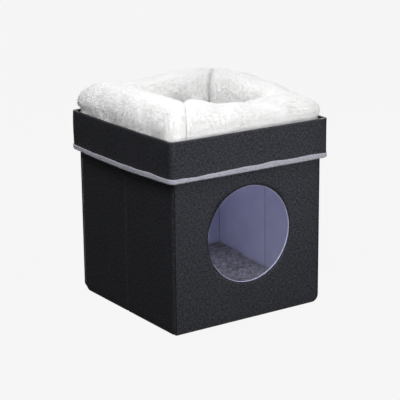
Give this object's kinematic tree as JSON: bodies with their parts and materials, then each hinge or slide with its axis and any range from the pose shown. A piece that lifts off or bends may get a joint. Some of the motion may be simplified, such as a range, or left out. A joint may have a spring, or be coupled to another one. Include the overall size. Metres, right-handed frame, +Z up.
{
  "type": "cat house",
  "caption": "Folding fabric cat cube with a round entrance, a lift-off tray lid, a plush bolster bed in the tray and a fur floor mat inside.",
  "frame": {"origin": "on the ground, under the middle of the whole object", "axes": "+Z up; the round entrance faces -Y; +X is to the right of someone who stands in front of the entrance and faces it"},
  "size_m": [0.3924, 0.3924, 0.4659],
  "materials": {
    "outer_cloth": "matte",
    "lining_cloth": "matte",
    "fleece_binding": "matte",
    "grey_fur": "matte",
    "white_plush": "matte",
    "board": "matte",
    "foam": "matte",
    "thread": "matte"
  },
  "bodies": {
    "front": {"front_board": "board", "front_cover": "outer_cloth", "front_lining": "lining_cloth", "entrance_binding": "lining_cloth", "corner_strip_front_left": "thread", "corner_strip_front_right": "thread"},
    "left_front": {"left_front_board": "board", "left_front_cover": "outer_cloth", "left_front_lining": "lining_cloth", "crease_strip_left": "thread"},
    "left_back": {"left_back_board": "board", "left_back_cover": "outer_cloth", "left_back_lining": "lining_cloth"},
    "back": {"back_board": "board", "back_cover": "outer_cloth", "back_lining": "lining_cloth", "corner_strip_back_left": "thread", "corner_strip_back_right": "thread"},
    "right_front": {"right_front_board": "board", "right_front_cover": "outer_cloth", "right_front_lining": "lining_cloth", "crease_strip_right": "thread"},
    "right_back": {"right_back_board": "board", "right_back_cover": "outer_cloth", "right_back_lining": "lining_cloth"},
    "mat": {"mat_foam": "foam", "mat_fur": "grey_fur"},
    "tray": {"tray_front_board": "board", "tray_back_board": "board", "tray_left_board": "board", "tray_right_board": "board", "tray_base_board": "board", "tray_cover": "outer_cloth", "tray_recess_lining": "outer_cloth", "tray_underside_lining": "lining_cloth", "tray_hem_binding": "fleece_binding"},
    "bed": {"bed_base_cloth": "white_plush", "bolster_front": "white_plush", "bolster_back": "white_plush", "bolster_left": "white_plush", "bolster_right": "white_plush", "bed_cushion": "white_plush"}
  },
  "joints": [
    {"name": "fold", "type": "hinge", "parent": "front", "child": "left_front", "pos_m": [-0.1753, -0.1753, 0], "axis": [0, 0, -1], "range_deg": [0, 84], "deforming": ["mat_foam", "mat_fur"]},
    {"name": "left_crease", "type": "hinge", "parent": "left_front", "child": "left_back", "pos_m": [-0.183, 0, 0], "axis": [0, 0, 1], "range_deg": [0, 168]},
    {"name": "back_left_corner", "type": "hinge", "parent": "left_back", "child": "back", "pos_m": [-0.1753, 0.1753, 0], "axis": [0, 0, -1], "range_deg": [0, 84]},
    {"name": "front_right_corner", "type": "hinge", "parent": "front", "child": "right_front", "pos_m": [0.1753, -0.1753, 0], "axis": [0, 0, 1], "range_deg": [0, 84]},
    {"name": "back_right_corner", "type": "hinge", "parent": "back", "child": "right_back", "pos_m": [0.1753, 0.1753, 0], "axis": [0, 0, -1], "range_deg": [0, 84]},
    {"name": "tray_lift", "type": "slide", "parent": "front", "child": "tray", "axis": [0, 0, 1], "range_m": [0, 0.2]},
    {"name": "bed_lift", "type": "slide", "parent": "tray", "child": "bed", "axis": [0, 0, 1], "range_m": [0, 0.16]},
    {"name": "mat_lift", "type": "slide", "parent": "front", "child": "mat", "axis": [0, 0, 1], "range_m": [0, 0.3]}
  ],
  "couplings": [
    {"joint": "left_crease", "follows": "fold", "ratio": 2},
    {"joint": "back_left_corner", "follows": "fold", "ratio": 1},
    {"joint": "front_right_corner", "follows": "fold", "ratio": 1},
    {"joint": "back_right_corner", "follows": "fold", "ratio": 1}
  ]
}
